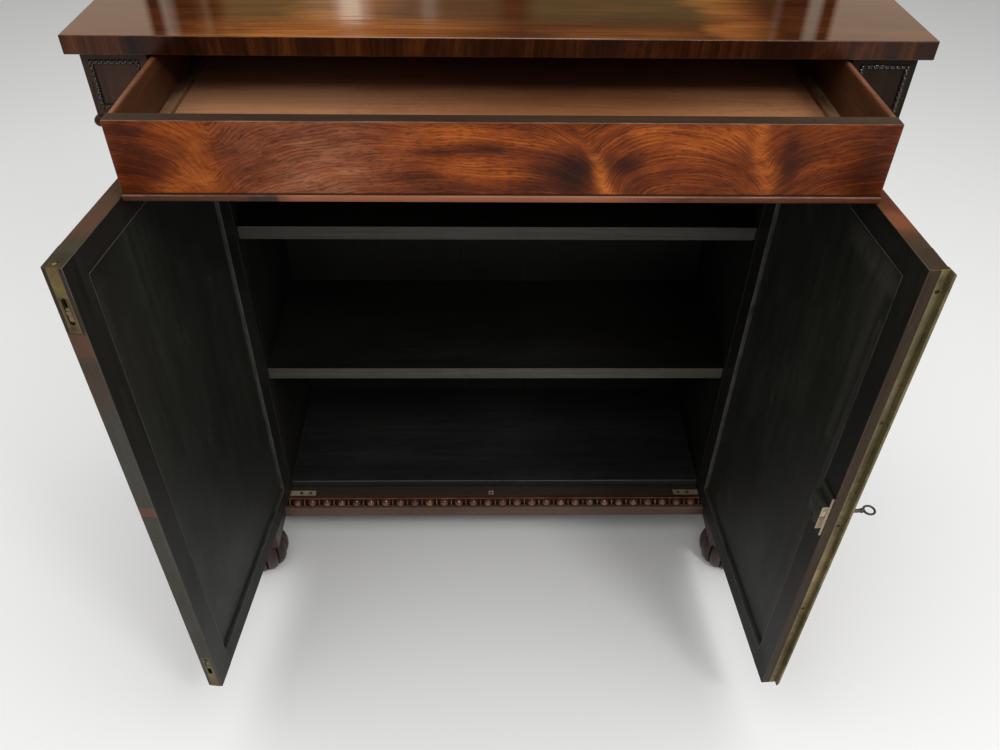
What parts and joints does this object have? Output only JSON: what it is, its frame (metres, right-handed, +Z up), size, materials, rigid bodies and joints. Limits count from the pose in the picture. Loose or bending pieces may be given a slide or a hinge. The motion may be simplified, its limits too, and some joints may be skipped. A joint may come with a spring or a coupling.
{
  "type": "chiffonier",
  "caption": "Low side cabinet with a thick top, a full-width frieze drawer, panelled doors over shelves, corner columns, a beaded base and lobed feet.",
  "frame": {"origin": "on the floor, midway between the sides and midway between the front of the open doors and the back of the top", "axes": "+X to the cabinet's right as seen from the front, +Y to the back, +Z up"},
  "size_m": [1, 0.6984, 1.02],
  "materials": {
    "top_veneer": "figured rosewood veneer under a glossy shellac polish",
    "case_veneer": "rosewood veneer, polished",
    "carved_wood": "dark turned and carved rosewood",
    "inside_wood": "near-black stained boards, dull",
    "secondary_wood": "plain pine and mahogany carcase wood, unpolished",
    "drawer_veneer": "red-brown figured rosewood veneer, polished",
    "drawer_lining": "thin mahogany drawer linings, waxed",
    "door_wood": "dark stained door frames with worn grey-brown edges",
    "door_panel_wood": "dark stained flat panels",
    "brass": "aged brass, rubbed bright on the edges",
    "brass_screw": "countersunk brass screws, tarnished",
    "lock_brass": "dark tarnished brass rim lock",
    "key_steel": "worn steel"
  },
  "bodies": {
    "case": {"top_board": "top_veneer", "frieze_block_left": "case_veneer", "frieze_block_right": "case_veneer", "post_left": "case_veneer", "post_right": "case_veneer", "side_panel_left": "case_veneer", "side_panel_right": "case_veneer", "plinth_block_left": "case_veneer", "plinth_block_right": "case_veneer", "plinth_side_left": "case_veneer", "plinth_side_right": "case_veneer", "ledge_board": "case_veneer", "frieze_beading": "carved_wood", "frieze_torus_left": "carved_wood", "frieze_torus_right": "carved_wood", "column_left": "carved_wood", "column_right": "carved_wood", "plinth_rail": "carved_wood", "bead_and_reel": "carved_wood", "front_foot_left": "carved_wood", "front_foot_right": "carved_wood", "lining_left": "inside_wood", "lining_right": "inside_wood", "back_board_left": "inside_wood", "back_board_centre": "inside_wood", "back_board_right": "inside_wood", "bottom_board": "inside_wood", "shelf_upper": "inside_wood", "shelf_lower": "inside_wood", "drawer_rail": "secondary_wood", "drawer_runner_left": "secondary_wood", "drawer_runner_right": "secondary_wood", "rear_plinth_rail": "secondary_wood", "rear_foot_left": "secondary_wood", "rear_foot_right": "secondary_wood", "bolt_keeps": "brass", "case_pivot_plates": "brass", "case_pivot_screws": "brass_screw"},
    "drawer": {"drawer_front": "drawer_veneer", "drawer_bead": "drawer_veneer", "drawer_side_left": "drawer_lining", "drawer_side_right": "drawer_lining", "drawer_back": "drawer_lining", "drawer_bottom": "drawer_lining", "drawer_slips": "drawer_lining"},
    "left_door": {"left_door_frame": "door_wood", "left_door_panel": "door_panel_wood", "left_door_pivots": "brass", "flush_bolt_plates": "brass"},
    "right_door": {"right_door_frame": "door_wood", "right_door_panel": "door_panel_wood", "right_door_pivots": "brass", "astragal": "brass", "astragal_screws": "brass_screw", "lock_case": "lock_brass", "escutcheon": "brass"},
    "top_bolt": {"top_bolt": "brass"},
    "bottom_bolt": {"bottom_bolt": "brass"},
    "lock_bolt": {"lock_bolt": "key_steel"},
    "key": {"key": "key_steel"}
  },
  "joints": [
    {"name": "drawer_slide", "type": "slide", "parent": "case", "child": "drawer", "axis": [0, -1, 0], "range_m": [-0.1757, 0.05]},
    {"name": "left_door_hinge", "type": "hinge", "parent": "case", "child": "left_door", "pos_m": [-0.3972, 0.051, 0.5155], "axis": [0, 0, 1], "range_deg": [0, 95.8]},
    {"name": "right_door_hinge", "type": "hinge", "parent": "case", "child": "right_door", "pos_m": [0.3972, 0.051, 0.5155], "axis": [0, 0, 1], "range_deg": [-93.8, 0]},
    {"name": "top_bolt_slide", "type": "slide", "parent": "left_door", "child": "top_bolt", "axis": [0, 0, 1], "range_m": [0, 0.012]},
    {"name": "bottom_bolt_slide", "type": "slide", "parent": "left_door", "child": "bottom_bolt", "axis": [0, 0, -1], "range_m": [0, 0.012]},
    {"name": "key_turn", "type": "hinge", "parent": "right_door", "child": "key", "pos_m": [0.43145, -0.32576, 0.517], "axis": [0.9978, 0.0663, 0], "range_deg": [0, 180]},
    {"name": "lock_bolt_slide", "type": "slide", "parent": "right_door", "child": "lock_bolt", "axis": [0.0663, -0.9978, 0], "range_m": [0, 0.009]}
  ],
  "couplings": [
    {"joint": "key_turn", "follows": "lock_bolt_slide", "rad_per_m": 349}
  ]
}
